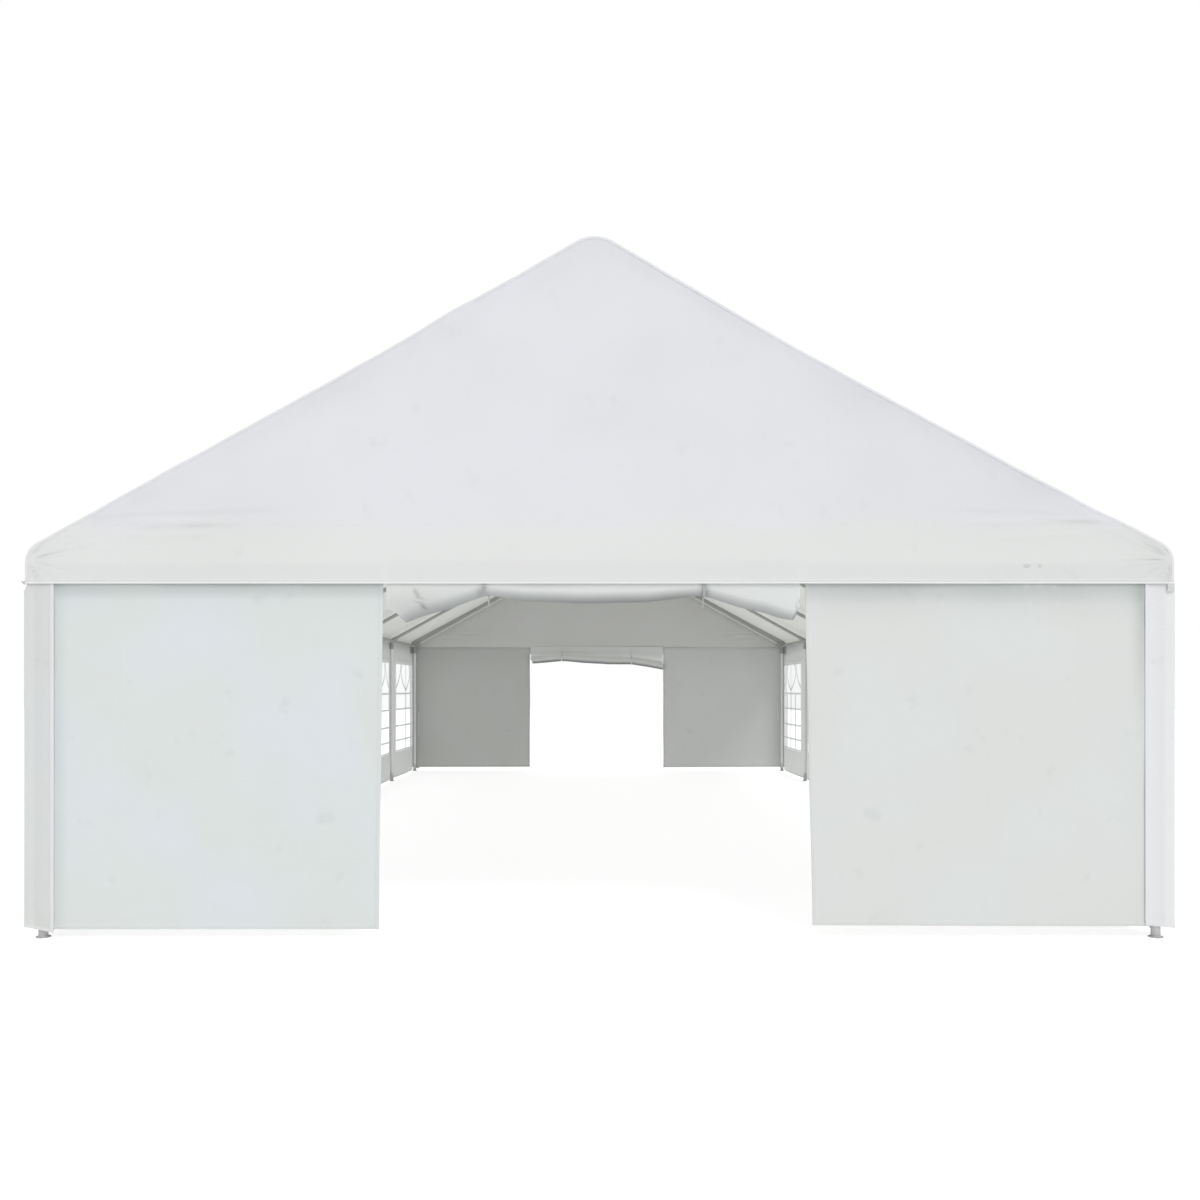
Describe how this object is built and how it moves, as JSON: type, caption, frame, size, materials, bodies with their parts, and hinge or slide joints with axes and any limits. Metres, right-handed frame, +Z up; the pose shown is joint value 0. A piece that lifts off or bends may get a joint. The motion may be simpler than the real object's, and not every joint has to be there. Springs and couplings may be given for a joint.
{
  "type": "marquee tent",
  "caption": "Long white marquee tent: steel tube frame, pitched sewn roof cover with a valance, walls with traced windows along both sides, and a rolled-up door in each gable.",
  "frame": {"origin": "the centre of the tent's footprint, on the ground", "axes": "+X across the tent to the right as seen from the front gable, +Y along the ridge away from the front gable, +Z up"},
  "size_m": [6.06, 12.0768, 3.7058],
  "materials": {
    "galvanised_steel": "galvanised steel tube, dull grey",
    "roof_cloth": "white coated polyethylene cloth, slightly shiny",
    "wall_cloth": "white coated polyethylene cloth, faintly green",
    "clear_film": "clear flexible film"
  },
  "bodies": {
    "root": {"post_left_1": "galvanised_steel", "post_left_2": "galvanised_steel", "post_left_3": "galvanised_steel", "post_left_4": "galvanised_steel", "post_left_5": "galvanised_steel", "post_left_6": "galvanised_steel", "post_left_7": "galvanised_steel", "post_right_1": "galvanised_steel", "post_right_2": "galvanised_steel", "post_right_3": "galvanised_steel", "post_right_4": "galvanised_steel", "post_right_5": "galvanised_steel", "post_right_6": "galvanised_steel", "post_right_7": "galvanised_steel", "rafter_left_1": "galvanised_steel", "rafter_left_2": "galvanised_steel", "rafter_left_3": "galvanised_steel", "rafter_left_4": "galvanised_steel", "rafter_left_5": "galvanised_steel", "rafter_left_6": "galvanised_steel", "rafter_left_7": "galvanised_steel", "rafter_right_1": "galvanised_steel", "rafter_right_2": "galvanised_steel", "rafter_right_3": "galvanised_steel", "rafter_right_4": "galvanised_steel", "rafter_right_5": "galvanised_steel", "rafter_right_6": "galvanised_steel", "rafter_right_7": "galvanised_steel", "eave_rail_left": "galvanised_steel", "eave_rail_right": "galvanised_steel", "ridge_beam": "galvanised_steel", "purlin_left": "galvanised_steel", "purlin_right": "galvanised_steel", "roof_cover_left": "roof_cloth", "roof_cover_right": "roof_cloth", "gable_cover_front": "roof_cloth", "gable_cover_rear": "roof_cloth", "side_wall_left": "wall_cloth", "side_wall_right": "wall_cloth", "window_film_left": "clear_film", "window_film_right": "clear_film", "gable_wall_front_left": "wall_cloth", "gable_wall_front_right": "wall_cloth", "gable_wall_rear_left": "wall_cloth", "gable_wall_rear_right": "wall_cloth", "door_roll_front": "wall_cloth", "door_roll_rear": "wall_cloth"}
  },
  "joints": []
}
